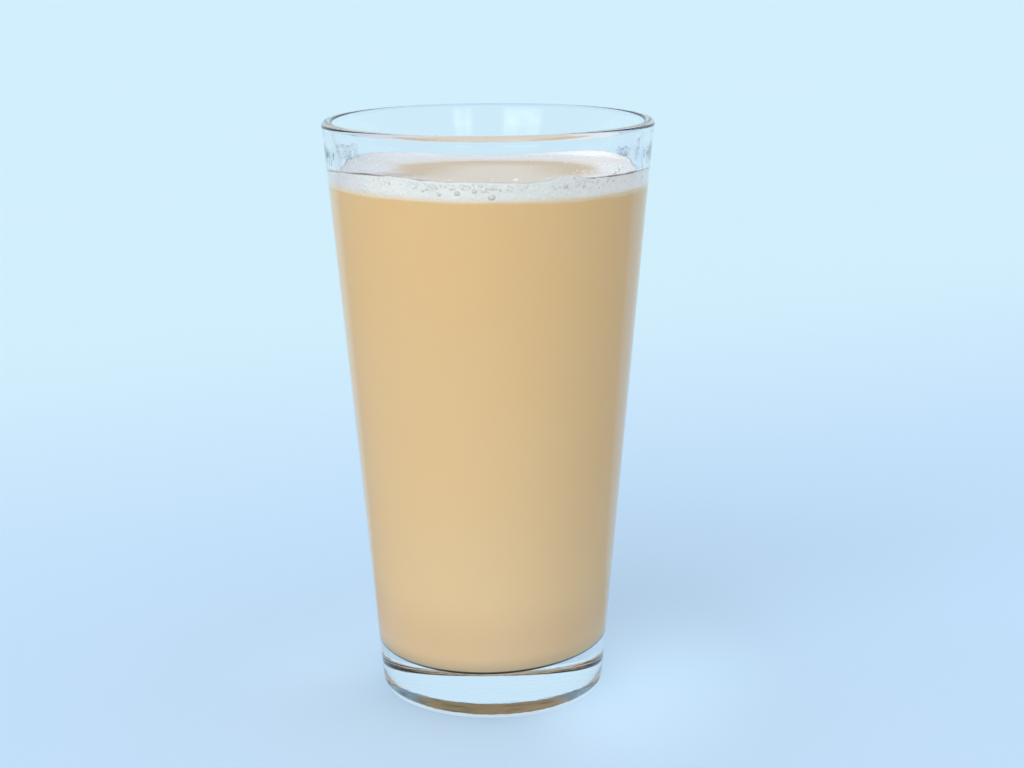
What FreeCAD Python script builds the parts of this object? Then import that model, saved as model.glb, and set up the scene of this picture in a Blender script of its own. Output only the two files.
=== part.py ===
import FreeCAD, Part
import math
import os

import Sketcher

# A tall tapered glass tumbler with a thick clear base, filled with latte that carries a
# layer of milk foam.  Millimetres, +Z up, origin at the centre of the foot, the axis of
# revolution along Z.  The side of the drink that faces -Y is its front.

# Driving dimensions: alias, value, what it is.
SIZES = [
    ("glass_height", 150.0, "overall height, foot to lip"),
    ("foot_diameter", 58.3, "outside of the wall carried down to the ground"),
    ("mouth_diameter", 83.9, "outside of the wall carried up to the full height"),
    ("side_wall", 3.1, "wall thickness just under the drawn lip"),
    ("floor_wall", 4.4, "wall thickness level with the inside floor"),
    ("floor_thickness", 11.4, "solid clear base under the drink"),
    ("floor_corner", 6.0, "inside radius between floor and wall"),
    ("foot_round", 2.4, "outside radius at the foot"),
    ("foot_ring", 2.5, "width of the ring that the glass stands on"),
    ("hollow_rise", 1.4, "height of the hollow inside the foot ring"),
    ("hollow_flank", 8.2, "width of the curved flank between the ring and the flat hollow"),
    ("lip_radius", 1.2, "radius of the fire-polished lip"),
    ("lip_proud", 0.16, "how far the lip stands out from the wall"),
    ("lip_swell", 1.0, "height over which the wall swells out to the lip"),
    ("lip_draw", 8.0, "height over which the wall thins to the lip"),
    ("lip_blend", 25.0, "inside radius where the thinning starts"),
    ("headroom", 12.6, "free height between the middle of the foam and the lip"),
    ("foam_depth", 3.2, "depth of the foam near its middle"),
    ("patch_radius", 25.0, "radius of the smooth low middle of the foam"),
    ("collar_rise", 0.45, "share of the climb made by the broad froth collar"),
    ("edge_width", 3.5, "width of the foam that climbs the wall"),
    ("edge_climb", 1.375, "mean climb of the foam at the wall"),
    ("edge_lobe", 0.875, "height of the four high stretches of the edge"),
    ("edge_lean", 0.35, "half the extra climb at the front middle, lost at the back middle"),
    ("film_gap", 0.05, "clearance of the contents from the glass and each other"),
]

doc = FreeCAD.newDocument("latte_tumbler")
sheet = doc.addObject("Spreadsheet::Sheet", "Sizes")
for row, (alias, value, note) in enumerate(SIZES, start=1):
    sheet.set("A%d" % row, note)
    sheet.set("B%d" % row, str(value))
    sheet.setAlias("B%d" % row, alias)
doc.recompute()


def size(alias):
    return float(getattr(sheet, alias))


# Expressions for the two walls, as functions of a level above the ground.

TAPER = "(Sizes.mouth_diameter - Sizes.foot_diameter) / 2 / Sizes.glass_height"
FLOOR = "Sizes.floor_thickness"
DRAW_START = "(Sizes.glass_height - Sizes.lip_draw)"
LIP_CENTRE = "(Sizes.glass_height - Sizes.lip_radius)"
FOAM_LEVEL = "(Sizes.glass_height - Sizes.headroom)"
LATTE_TOP = "(%s - Sizes.foam_depth)" % FOAM_LEVEL


def outer_radius(level):
    return "(Sizes.foot_diameter / 2 + %s * (%s))" % (TAPER, level)


FLOOR_BORE = "(%s - Sizes.floor_wall)" % outer_radius(FLOOR)
DRAW_BORE = "(%s - Sizes.side_wall)" % outer_radius(DRAW_START)
BORE_TAPER = "(%s - %s) / (%s - %s)" % (DRAW_BORE, FLOOR_BORE, DRAW_START, FLOOR)


def bore_radius(level):
    return "(%s + %s * (%s - %s))" % (FLOOR_BORE, BORE_TAPER, level, FLOOR)


LIP_AXIS = "(%s + Sizes.lip_proud - Sizes.lip_radius)" % outer_radius(LIP_CENTRE)
LIP_BORE = "(%s - Sizes.lip_radius)" % LIP_AXIS


def number(expression):
    return float(sheet.evalExpression(expression))


# Sketch helpers.  Every sketch lies in its body's XZ plane: across is the radius, up is
# the height above the ground.

ORIGIN_POINT = (-1, 1)
ACROSS_AXIS = -1
UP_AXIS = -2
CENTRE = 3


def new_body(name):
    body = doc.addObject("PartDesign::Body", name)
    body.Label = name
    return body


def pin(sketch, rule, name, expression):
    """Adds a named length rule between the origin and a point, bound to an expression."""
    sketch.renameConstraint(sketch.addConstraint(rule), name)
    sketch.setExpression("Constraints." + name, expression)


def pin_across(sketch, geometry, end, expression, name):
    """Ties a point's radius to an expression; "0" puts it on the axis of revolution."""
    if expression == "0":
        sketch.addConstraint(Sketcher.Constraint("PointOnObject", geometry, end, UP_AXIS))
        return
    value = number(expression)
    rule = Sketcher.Constraint("DistanceX", *ORIGIN_POINT, geometry, end, value)
    pin(sketch, rule, name + "_across", expression)


def pin_up(sketch, geometry, end, expression, name):
    """Ties a point's height to an expression; "0" puts it on the ground."""
    if expression == "0":
        sketch.addConstraint(Sketcher.Constraint("PointOnObject", geometry, end, ACROSS_AXIS))
        return
    value = number(expression)
    rule = Sketcher.Constraint("DistanceY", *ORIGIN_POINT, geometry, end, value)
    pin(sketch, rule, name + "_up", expression)


def plane_point(across, up):
    return FreeCAD.Vector(number(across), number(up), 0)


def outline(body, name, corners, arcs=None):
    """Closed outline through (corner name, across, up).  The side after a corner named in
    arcs is an arc about the (across, up) given there; the other sides are straight."""
    sketch = body.newObject("Sketcher::SketchObject", name)
    plane = [item for item in body.Origin.OriginFeatures if item.Role == "XZ_Plane"][0]
    sketch.AttachmentSupport = [(plane, "")]
    sketch.MapMode = "FlatFace"
    arcs = arcs or {}
    points = [plane_point(across, up) for _, across, up in corners]
    following = points[1:] + points[:1]
    ends = []
    for (corner, _, _), start, end in zip(corners, points, following):
        if corner not in arcs:
            sketch.addGeometry(Part.LineSegment(start, end))
            ends.append((1, 2))
            continue
        middle = plane_point(*arcs[corner])
        radius = (start - middle).Length
        circle = Part.Circle(middle, FreeCAD.Vector(0, 0, 1), radius)
        first = math.atan2(start.y - middle.y, start.x - middle.x)
        last = math.atan2(end.y - middle.y, end.x - middle.x)
        counter_clockwise = last > first
        sketch.addGeometry(Part.ArcOfCircle(circle, min(first, last), max(first, last)))
        ends.append((1, 2) if counter_clockwise else (2, 1))
    count = len(corners)
    for side in range(count):
        after = (side + 1) % count
        rule = Sketcher.Constraint("Coincident", side, ends[side][1], after, ends[after][0])
        sketch.addConstraint(rule)
    for side, (corner, across, up) in enumerate(corners):
        pin_across(sketch, side, ends[side][0], across, corner)
        pin_up(sketch, side, ends[side][0], up, corner)
        if corner in arcs:
            pin_up(sketch, side, CENTRE, arcs[corner][1], corner + "_centre")
    return sketch


def turned(body, name, sketch):
    """Turns an outline through a full circle about the vertical axis."""
    feature = body.newObject("PartDesign::Revolution", name)
    feature.Profile = sketch
    feature.ReferenceAxis = (sketch, ["V_Axis"])
    feature.Angle = 360.0
    doc.recompute()
    return feature


def ring_edge(feature, radius, level):
    """Name of the circular edge nearest to a radius and a level."""
    def distance(edge):
        return math.hypot(edge.Curve.Radius - radius, edge.Curve.Center.z - level)
    rings = [(distance(edge), index) for index, edge in enumerate(feature.Shape.Edges, start=1)
             if not edge.Degenerated and isinstance(edge.Curve, Part.Circle)]
    return "Edge%d" % min(rings)[1]


def rounded(body, name, feature, across, up, radius):
    """Rounds the ring-shaped edge at a radius and a level, given as expressions."""
    fillet = body.newObject("PartDesign::Fillet", name)
    fillet.Base = (feature, [ring_edge(feature, number(across), number(up))])
    fillet.Radius = number(radius)
    fillet.setExpression("Radius", radius)
    doc.recompute()
    return fillet


# Tumbler: one wall section turned about the axis, from the hollow underside out to the
# foot, up the tapered wall, over the lip and down the bore to the thick floor.

FOOT = "Sizes.foot_diameter / 2"
RING_INNER = "(%s - Sizes.foot_round - Sizes.foot_ring)" % FOOT
HOLLOW = "Sizes.hollow_rise"
HOLLOW_EDGE = "(%s - Sizes.hollow_flank)" % RING_INNER
FLANK_RADIUS = "(Sizes.hollow_flank * Sizes.hollow_flank + %s * %s) / (2 * %s)" % (
    HOLLOW, HOLLOW, HOLLOW)
SWELL_START = "(%s - Sizes.lip_swell)" % LIP_CENTRE
LIP_OUTSIDE = "(%s + Sizes.lip_radius)" % LIP_AXIS
FLANK_CENTRE = "(%s - %s)" % (HOLLOW, FLANK_RADIUS)

tumbler = new_body("tumbler")
section = outline(tumbler, "wall_section", [
    ("hollow", "0", HOLLOW),
    ("flank", HOLLOW_EDGE, HOLLOW),
    ("ring", RING_INNER, "0"),
    ("foot", FOOT, "0"),
    ("swell", outer_radius(SWELL_START), SWELL_START),
    ("lip_outside", LIP_OUTSIDE, LIP_CENTRE),
    ("lip_top", LIP_AXIS, "Sizes.glass_height"),
    ("lip_inside", LIP_BORE, LIP_CENTRE),
    ("draw", DRAW_BORE, DRAW_START),
    ("floor", FLOOR_BORE, FLOOR),
    ("axis_floor", "0", FLOOR),
], arcs={
    "flank": (HOLLOW_EDGE, FLANK_CENTRE),
    "lip_outside": (LIP_AXIS, LIP_CENTRE),
    "lip_top": (LIP_AXIS, LIP_CENTRE),
})
glass = turned(tumbler, "glass", section)
foot_edge = rounded(tumbler, "foot_edge", glass, FOOT, "0", "Sizes.foot_round")
floor_edge = rounded(tumbler, "floor_edge", foot_edge, FLOOR_BORE, FLOOR, "Sizes.floor_corner")
rounded(tumbler, "draw_edge", floor_edge, DRAW_BORE, DRAW_START, "Sizes.lip_blend")


# Latte: fills the bore from the floor up to the underside of the foam.

WET_FLOOR = "(Sizes.floor_thickness + Sizes.film_gap)"


def wet_radius(level):
    return "(%s - Sizes.film_gap)" % bore_radius(level)


latte = new_body("latte")
latte_outline = outline(latte, "latte_outline", [
    ("axis_bottom", "0", WET_FLOOR),
    ("bottom", wet_radius(WET_FLOOR), WET_FLOOR),
    ("surface", wet_radius(LATTE_TOP), LATTE_TOP),
    ("axis_surface", "0", LATTE_TOP),
])
latte_fill = turned(latte, "latte_fill", latte_outline)
rounded(latte, "latte_corner", latte_fill, wet_radius(WET_FLOOR), WET_FLOOR,
        "(Sizes.floor_corner - Sizes.film_gap)")


# Milk foam: a layer across the glass whose free surface is low and smooth in the middle,
# rises over a broad collar of froth and climbs the wall unevenly.

LOBES = 4
GRID_STEPS = 32


def smooth_step(value):
    share = min(1.0, max(0.0, value))
    return share * share * (3 - 2 * share)


def foam_height(across, along):
    """Level of the free surface over a point of the plan."""
    radius = math.hypot(across, along)
    angle = math.atan2(along, across)
    wall = number(wet_radius(FOAM_LEVEL))
    climb = (size("edge_climb") - size("edge_lobe") * math.cos(LOBES * angle)
             - size("edge_lean") * (math.sin(angle) - math.sin(3 * angle)))
    collar = smooth_step((radius - size("patch_radius")) / (wall - size("patch_radius")))
    edge = smooth_step((radius - wall + size("edge_width")) / size("edge_width"))
    share = size("collar_rise") * collar + (1 - size("collar_rise")) * edge
    return number(FOAM_LEVEL) + climb * share


def foam_shape():
    bottom = number(LATTE_TOP) + size("film_gap")
    top = number(FOAM_LEVEL) + 2 * (size("edge_climb") + size("edge_lobe") + size("edge_lean"))
    bottom_radius = number(wet_radius(str(bottom)))
    top_radius = number(wet_radius(str(top)))
    base = FreeCAD.Vector(0, 0, bottom)
    plug_of_foam = Part.makeCone(bottom_radius, top_radius, top - bottom, base)
    reach = top_radius + 1
    stations = [reach * (2 * step / GRID_STEPS - 1) for step in range(GRID_STEPS + 1)]
    surface = Part.BSplineSurface()
    surface.interpolate([[FreeCAD.Vector(x, y, foam_height(x, y)) for y in stations]
                         for x in stations])
    below = surface.toShape().extrude(FreeCAD.Vector(0, 0, bottom - top))
    return plug_of_foam.common(below)


milk_foam = doc.addObject("Part::Feature", "milk_foam")
milk_foam.Label = "milk_foam"
milk_foam.Shape = foam_shape()
milk_foam.Placement = FreeCAD.Placement()

doc.recompute()

for item in doc.Objects:
    if any(state in item.State for state in ("Invalid", "Error")):
        raise RuntimeError("%s failed: %s" % (item.Label, item.State))

PARTS = [tumbler, latte, milk_foam]
for part in PARTS:
    shape = part.Shape
    if shape.isNull() or not shape.isValid() or len(shape.Solids) != 1:
        raise RuntimeError("%s is not one valid solid" % part.Label)

os.makedirs("parts", exist_ok=True)
for part in PARTS:
    part.Shape.exportStep("parts/%s.step" % part.Label)
    box = part.Shape.BoundBox
    print("%-10s volume %9.1f mm3, z %.2f to %.2f, width %.2f" % (
        part.Label, part.Shape.Volume, box.ZMin, box.ZMax, box.XLength))
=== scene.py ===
import math
import random

import bpy
from bpy.props import FloatProperty, FloatVectorProperty, IntProperty, PointerProperty
from mathutils import Matrix, Vector, noise


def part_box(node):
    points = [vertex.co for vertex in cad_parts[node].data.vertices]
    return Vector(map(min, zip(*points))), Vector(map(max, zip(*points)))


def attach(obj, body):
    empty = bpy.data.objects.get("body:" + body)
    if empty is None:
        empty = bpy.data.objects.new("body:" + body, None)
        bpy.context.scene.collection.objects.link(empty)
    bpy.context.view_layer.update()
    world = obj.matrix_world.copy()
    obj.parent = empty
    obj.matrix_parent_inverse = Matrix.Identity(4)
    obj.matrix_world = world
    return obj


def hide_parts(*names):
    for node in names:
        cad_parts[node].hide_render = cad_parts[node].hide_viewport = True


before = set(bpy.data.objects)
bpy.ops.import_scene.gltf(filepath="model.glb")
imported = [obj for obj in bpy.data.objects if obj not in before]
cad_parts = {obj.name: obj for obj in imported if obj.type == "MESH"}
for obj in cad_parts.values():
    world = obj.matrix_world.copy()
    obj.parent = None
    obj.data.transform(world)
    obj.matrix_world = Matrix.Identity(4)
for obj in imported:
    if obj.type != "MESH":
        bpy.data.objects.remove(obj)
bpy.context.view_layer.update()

bl_info = {
    "name": "Glass of latte",
    "version": (1, 0, 0),
    "blender": (4, 5, 0),
    "location": "View3D > Sidebar > Latte",
    "description": "Builds the looks of a tall tumbler of latte round its CAD model",
    "category": "Add Mesh",
}

BODY = "root"
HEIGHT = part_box("tumbler")[1][2]
FLOOR_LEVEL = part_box("latte")[0][2]
LATTE_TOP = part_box("latte")[1][2]
MM = 0.001
TURN = 2 * math.pi
ROUND_STEPS = 288
CORNER_TOP = 20 * MM  # inside wall is straight from this level up to the lip's thinning

# How far the foam climbs the wall, in millimetres: mean, four lobes, lean to one side,
# and humps as (degrees round the glass, spread in degrees, height).
EDGE_MEAN = 1.375
EDGE_LOBES = 4
EDGE_LOBE = 0.875
EDGE_LEAN = 0.35
EDGE_HUMPS = ((90, 26, 0.55), (200, 12, 0.4), (266, 9, 0.45), (299, 6, 1.15),
              (312, 22, -1.0), (342, 10, 0.35))


# ------------------------------------------------------------------ settings

def length(name, description, default, **limits):
    return FloatProperty(name=name, description=description, default=default,
                         unit="LENGTH", precision=5, **limits)


def colour(name, description, default):
    return FloatVectorProperty(name=name, description=description, default=default,
                               subtype="COLOR", size=3, min=0.0, max=1.0)


class TumblerSettings(bpy.types.PropertyGroup):
    foot_radius: length("Foot radius", "Wall carried down to the ground", 0.02915)
    mouth_radius: length("Mouth radius", "Wall carried up to the lip", 0.04195)
    side_wall: length("Side wall", "Wall thickness just under the drawn lip", 0.0031)
    floor_wall: length("Floor wall", "Wall thickness level with the inside floor", 0.0044)
    floor_corner: length("Floor corner", "Inside radius between floor and wall", 0.006)
    foot_round: length("Foot round", "Outside radius at the foot", 0.0024)
    foot_ring: length("Foot ring", "Width of the ring the glass stands on", 0.0025)
    hollow_rise: length("Hollow rise", "Height of the hollow under the base", 0.0014)
    hollow_flank: length("Hollow flank", "Width of the curved flank of the hollow", 0.0082)
    lip_radius: length("Lip radius", "Radius of the fire-polished lip", 0.00138)
    lip_proud: length("Lip proud", "How far the lip stands out from the wall", 0.0002)
    lip_swell: length("Lip swell", "Height over which the wall swells to the lip", 0.001)
    lip_draw: length("Lip draw", "Height over which the wall thins to the lip", 0.0085)
    lip_blend: length("Lip blend", "Inside radius where the thinning starts", 0.025)
    floor_lean: FloatProperty(name="Floor lean", default=0.03,
                              description="Slope of the inside floor, up to the right")
    floor_tip: FloatProperty(name="Floor tip", default=0.03,
                             description="Slope of the inside floor, up to the back")
    tint: colour("Glass tint", "Colour of the clear glass", (0.985, 0.995, 1.0))


class DrinkSettings(bpy.types.PropertyGroup):
    wall_reach: length("Wall reach", "How far the drink reaches into the wall", 0.00025)
    latte: colour("Latte", "Milky coffee", (0.83, 0.555, 0.265))
    cream: colour("Cream", "Blend between latte and foam", (0.86, 0.73, 0.53))
    # Underside: latte colour darkened and reddened as painted shade, since it faces down.
    underside_shade: colour("Underside", "Latte seen from below", (0.86, 0.45, 0.18))
    foam_level: length("Foam level", "Surface of the foam near the middle",
                       LATTE_TOP + 3.2 * MM)
    patch_radius: length("Patch radius", "Smooth beige middle of the foam", 0.0255)
    collar_rise: length("Collar rise", "Height of the froth ring over the middle", 0.0004)
    edge_width: length("Edge width", "Width of the foam that climbs the wall", 0.0035)
    white_foam: colour("White foam", "Froth by the wall", (0.88, 0.91, 0.90))
    pale_foam: colour("Pale foam", "Froth ring on top", (0.83, 0.86, 0.90))
    beige_foam: colour("Beige foam", "Smooth middle of the foam", (0.82, 0.685, 0.54))
    tan_foam: colour("Tan foam", "Coffee arc across the middle", (0.70, 0.49, 0.28))
    froth_count: IntProperty(name="Froth bubbles", default=700,
                             description="Bubbles standing on the foam")
    seed: IntProperty(name="Seed", default=7, description="Seed of the bubbles")


class StageSettings(bpy.types.PropertyGroup):
    near_floor: colour("Near floor", "Floor under the glass", (0.56, 0.765, 0.995))
    far_floor: colour("Far floor", "Floor and backdrop behind", (0.66, 0.875, 0.992))
    dark_room: colour("Dark room", "Studio above and in front, seen in the glass",
                      (0.45, 0.60, 0.76))
    grey_room: colour("Grey room", "Studio in front, seen mirrored by the glass",
                      (0.46, 0.49, 0.52))
    sky_level: FloatProperty(name="Sky level", default=0.83,
                             description="Strength of the even light from all round")
    key_level: FloatProperty(name="Key level", default=1.5,
                             description="Strength of the soft lamp")


# ------------------------------------------------------------- wall geometry

def wall_radius(level):
    """Outside radius of the tumbler at a level."""
    s = bpy.context.scene.tumbler
    return s.foot_radius + (s.mouth_radius - s.foot_radius) * level / HEIGHT


def bore_radius(level):
    """Inside radius of the tumbler at a level."""
    s = bpy.context.scene.tumbler
    start = HEIGHT - s.lip_draw
    low = wall_radius(FLOOR_LEVEL) - s.floor_wall
    high = wall_radius(start) - s.side_wall
    return low + (high - low) * (level - FLOOR_LEVEL) / (start - FLOOR_LEVEL)


def polar(radius, angle, level=0.0):
    """A point at a radius and an angle round the axis."""
    return radius * math.cos(angle), radius * math.sin(angle), level


def fillet(before, corner, after, radius, steps):
    """Points of the arc that rounds a corner of a section."""
    corner = Vector(corner)
    back = (Vector(before) - corner).normalized()
    on = (Vector(after) - corner).normalized()
    half = back.angle(on) / 2
    start = corner + back * radius / math.tan(half)
    end = corner + on * radius / math.tan(half)
    centre = corner + (back + on).normalized() * radius / math.sin(half)
    first = math.atan2(start.y - centre.y, start.x - centre.x)
    last = math.atan2(end.y - centre.y, end.x - centre.x)
    sweep = (last - first + math.pi) % TURN - math.pi
    return [(centre.x + radius * math.cos(first + sweep * i / steps),
             centre.y + radius * math.sin(first + sweep * i / steps))
            for i in range(steps + 1)]


def steps_between(low, high, count):
    """Evenly spaced values between two ends, without the ends."""
    return [low + (high - low) * i / count for i in range(1, count)]


def lean_floor(point):
    """Tilts the inside floor a little, fading out up the wall.  The underside and the
    outside of the wall stay."""
    s = bpy.context.scene.tumbler
    x, y, z = point
    below, above, full, fading, skin = (v * MM for v in (6, 38, 1, 22, 0.4))
    reach = bore_radius(max(z, FLOOR_LEVEL)) + skin
    if z < below or z > above or math.hypot(x, y) > reach:
        return point
    fade = 1 - (z - FLOOR_LEVEL - full) / fading
    return x, y, z + (s.floor_lean * x + s.floor_tip * y) * smooth_step(fade)


def smooth_step(share):
    """An even start and stop between 0 and 1."""
    share = min(1.0, max(0.0, share))
    return share * share * (3 - 2 * share)


# ------------------------------------------------------------- mesh helpers

def new_piece(name, points, faces, material, replaced=()):
    """A smooth mesh object that rides on the body."""
    sharp_from = math.radians(50.0)
    mesh = bpy.data.meshes.new(name)
    mesh.from_pydata(points, [], faces)
    mesh.validate()
    mesh.polygons.foreach_set("use_smooth", [True] * len(mesh.polygons))
    mesh.set_sharp_from_angle(angle=sharp_from)
    mesh.update()
    piece = bpy.data.objects.new(name, mesh)
    bpy.context.scene.collection.objects.link(piece)
    piece.data.materials.append(material)
    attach(piece, BODY)
    if replaced:
        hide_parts(*replaced)
    return piece


def turned(section, steps=ROUND_STEPS, mover=None):
    """Points and faces of a section of (radius, level) turned about the axis.  The
    section runs with the solid on its left, so that the faces look outwards."""
    on_axis = 1e-7
    points = []
    faces = []
    rings = []
    for radius, level in section:
        if radius < on_axis:
            rings.append([len(points)] * steps)
            points.append((0.0, 0.0, level))
            continue
        rings.append(list(range(len(points), len(points) + steps)))
        points += [polar(radius, TURN * k / steps, level) for k in range(steps)]
    for lower, upper in zip(rings, rings[1:]):
        for k in range(steps):
            n = (k + 1) % steps
            corners = [lower[k], lower[n], upper[n], upper[k]]
            face = [c for i, c in enumerate(corners) if c not in corners[:i]]
            if len(face) > 2:
                faces.append(face)
    if mover:
        points = [mover(p) for p in points]
    return points, faces


# --------------------------------------------------------- material helpers

class Nodes:
    """Short calls to lay out the nodes of a material, a group or the sky."""

    def __init__(self, tree):
        self.tree = tree

    def add(self, kind, values=None, **settings):
        node = self.tree.nodes.new(kind)
        for name, value in settings.items():
            setattr(node, name, value)
        self.fill(node, values or {})
        return node

    def fill(self, node, values):
        """Feeds a node's inputs by name."""
        for name, value in values.items():
            self.feed(node.inputs[name], value)

    def feed(self, socket, value):
        """Links a socket to another one, or sets its value."""
        if isinstance(value, bpy.types.NodeSocket):
            self.tree.links.new(value, socket)
        elif socket.type == "RGBA":
            socket.default_value = (*value, 1.0)
        else:
            socket.default_value = value

    def result(self, node, *values):
        """Feeds a node's inputs in their order; gives back its first output."""
        for socket, value in zip(node.inputs, values):
            self.feed(socket, value)
        return node.outputs[0]

    def maths(self, operation, *values):
        return self.result(self.add("ShaderNodeMath", operation=operation), *values)

    def times(self, first, *others):
        """All the values multiplied."""
        for other in others:
            first = self.maths("MULTIPLY", first, other)
        return first

    def ramp(self, value, low, high, first=0.0, last=1.0):
        """A smooth change of value from first at low to last at high."""
        node = self.add("ShaderNodeMapRange", interpolation_type="SMOOTHSTEP")
        return self.result(node, value, low, high, first, last)

    def blend(self, share, first, second, how="MIX"):
        """One colour where share is 0, another where it is 1."""
        node = self.add("ShaderNodeMix", data_type="RGBA", blend_type=how)
        colour_inputs, colour_output = (6, 7), 2
        self.feed(node.inputs[0], share)
        for i, value in zip(colour_inputs, (first, second)):
            self.feed(node.inputs[i], value)
        return node.outputs[colour_output]

    def switch(self, share, first, second):
        """One shader where share is 0, another where it is 1."""
        return self.result(self.add("ShaderNodeMixShader"), share, first, second)

    def noise(self, where, scale, detail=2.0, **values):
        node = self.add("ShaderNodeTexNoise", {"Vector": where, "Scale": scale,
                                               "Detail": detail, **values})
        return node.outputs["Fac"]

    def point(self):
        """The point on the object, in metres."""
        return self.add("ShaderNodeTexCoord").outputs["Object"]

    def normal(self):
        return self.add("ShaderNodeNewGeometry").outputs["Normal"]

    def parts(self, vector):
        """The x, y and z of a vector."""
        return self.add("ShaderNodeSeparateXYZ", {"Vector": vector}).outputs

    def distance(self, x, y):
        """How long x and y are together."""
        squares = [self.times(part, part) for part in (x, y)]
        return self.maths("SQRT", self.maths("ADD", *squares))


def new_material(name):
    material = bpy.data.materials.new(name)
    material.use_nodes = True
    nodes = Nodes(material.node_tree)
    return material, nodes, material.node_tree.nodes["Principled BSDF"]


def froth_grain():
    """Node group: fine bubble cells of wet foam, as a shade and a height."""
    name = "froth_grain"
    if name in bpy.data.node_groups:
        return bpy.data.node_groups[name]
    tree = bpy.data.node_groups.new(name, "ShaderNodeTree")
    face = tree.interface
    face.new_socket("Point", in_out="INPUT", socket_type="NodeSocketVector")
    face.new_socket("Cell Size", in_out="INPUT", socket_type="NodeSocketFloat")
    face.new_socket("Shade", in_out="OUTPUT", socket_type="NodeSocketFloat")
    face.new_socket("Height", in_out="OUTPUT", socket_type="NodeSocketFloat")
    nodes = Nodes(tree)
    given = nodes.add("NodeGroupInput")
    result = nodes.add("NodeGroupOutput")
    point = given.outputs["Point"]
    scale = nodes.maths("DIVIDE", 1.0, given.outputs["Cell Size"])
    finer = nodes.times(scale, 2.7)
    coarse = nodes.add("ShaderNodeTexVoronoi", {"Vector": point, "Scale": scale})
    fine = nodes.add("ShaderNodeTexVoronoi", {"Vector": point, "Scale": finer})
    big = nodes.ramp(coarse.outputs["Distance"], 0.15, 0.75, 1.0, 0.0)
    small = nodes.ramp(fine.outputs["Distance"], 0.1, 0.7, 1.0, 0.0)
    height = nodes.maths("MULTIPLY_ADD", small, 0.4, big)
    patchy = nodes.noise(point, nodes.times(scale, 0.2), 3.0)
    shade = nodes.times(nodes.maths("SUBTRACT", 1.0, small), nodes.ramp(patchy, 0.35, 0.75))
    nodes.fill(result, {"Shade": shade, "Height": height})
    return tree


def add_froth(nodes, point, cell_size):
    """Places the froth group; gives back its shade and its height."""
    node = nodes.add("ShaderNodeGroup", node_tree=froth_grain())
    nodes.fill(node, {"Point": point, "Cell Size": cell_size})
    return node.outputs["Shade"], node.outputs["Height"]


def lit_through(nodes, shader):
    """Lets light for the drink pass straight through a clear material."""
    path = nodes.add("ShaderNodeLightPath")
    clear = nodes.add("ShaderNodeBsdfTransparent", {"Color": (0.93, 0.95, 0.95)})
    result = shader.outputs[0]
    for ray_name in ("Is Shadow Ray", "Is Diffuse Ray"):
        result = nodes.switch(path.outputs[ray_name], result, clear.outputs[0])
    nodes.feed(nodes.tree.nodes["Material Output"].inputs["Surface"], result)


# ------------------------------------------------------------------- stage

class LATTE_OT_stage(bpy.types.Operator):
    """Adds the floor, the even light, the soft lamp and the camera"""
    bl_idname = "latte.stage"
    bl_label = "Stage"

    def execute(self, context):
        settings = context.scene.latte_stage
        add_floor(settings)
        add_sky(context.scene, settings)
        add_lamp(settings)
        add_camera(context.scene)
        context.scene.view_settings.view_transform = "Standard"
        return {"FINISHED"}


def add_floor(settings):
    """A wide pale floor just under the foot."""
    radii = (0.0, 0.5, 2.0, 9.0)
    clearance = 0.02 * MM
    points, faces = turned([(radius, 0.0) for radius in radii], 96)
    points = [(x, y, z - clearance) for x, y, z in points]
    mesh = bpy.data.meshes.new("floor")
    mesh.from_pydata(points, [], [tuple(reversed(f)) for f in faces])
    floor = bpy.data.objects.new("floor", mesh)
    bpy.context.scene.collection.objects.link(floor)
    mesh.materials.append(pale_floor(settings))


def pale_floor(settings):
    """Bluer under the glass than far behind it, and grey where the glass mirrors what
    lies beside the backdrop."""
    material, nodes, shader = new_material("pale_floor")
    point = nodes.point()
    x, y, _ = nodes.parts(point)
    white = (1.0, 1.0, 1.0)
    far = nodes.ramp(nodes.maths("MULTIPLY_ADD", x, -0.4, y), 0.06, 0.55)
    patches = nodes.ramp(nodes.noise(point, 3.0), 0.3, 0.7, 0.0, 0.03)
    tone = nodes.blend(far, settings.near_floor, settings.far_floor)
    tone = nodes.blend(patches, tone, white)
    path = nodes.add("ShaderNodeLightPath")
    away = nodes.maths("ADD", nodes.maths("ABSOLUTE", x), nodes.maths("ABSOLUTE", y))
    mirrored = nodes.times(beside_backdrop(nodes, x, y), nodes.ramp(away, 0.04, 0.12),
                           path.outputs["Is Reflection Ray"])
    tone = nodes.blend(mirrored, tone, settings.grey_room)
    nodes.fill(shader, {"Base Color": tone, "Roughness": 0.85, "Specular IOR Level": 0.0})
    glow, ring = thrown_light(nodes, x, y)
    blue_glow, warm_ring = (0.105, 0.145, 0.18), (0.23, 0.17, 0.10)
    nodes.fill(shader, {"Emission Color": nodes.blend(ring, blue_glow, warm_ring),
                        "Emission Strength": nodes.maths("MAXIMUM", glow, ring)})
    return material


def thrown_light(nodes, x, y):
    """Light that the glass throws on the floor, as two shares: a glow round the foot,
    most of it to the right and least to the front left, and a thin ring just under the
    rounded edge of the foot."""
    gap = nodes.distance(x, y)

    def facing(across, along):
        ahead = nodes.maths("MULTIPLY_ADD", x, across, nodes.times(y, along))
        return nodes.maths("DIVIDE", ahead, gap)

    right = nodes.ramp(facing(0.97, -0.26), 0.3, 1.0, 0.45, 1.0)
    shaded = nodes.ramp(facing(-0.5, -0.87), 0.3, 0.95, 0.0, 0.45)
    share = nodes.maths("SUBTRACT", right, shaded)
    foot = bpy.context.scene.tumbler.foot_radius
    glow = nodes.times(share, nodes.ramp(gap, foot, foot + 58 * MM, 1.0, 0.0))
    ring = nodes.times(nodes.ramp(gap, foot - 3 * MM, foot - 1.5 * MM),
                       nodes.ramp(gap, foot - 0.6 * MM, foot - 1.1 * MM))
    return glow, ring


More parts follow.
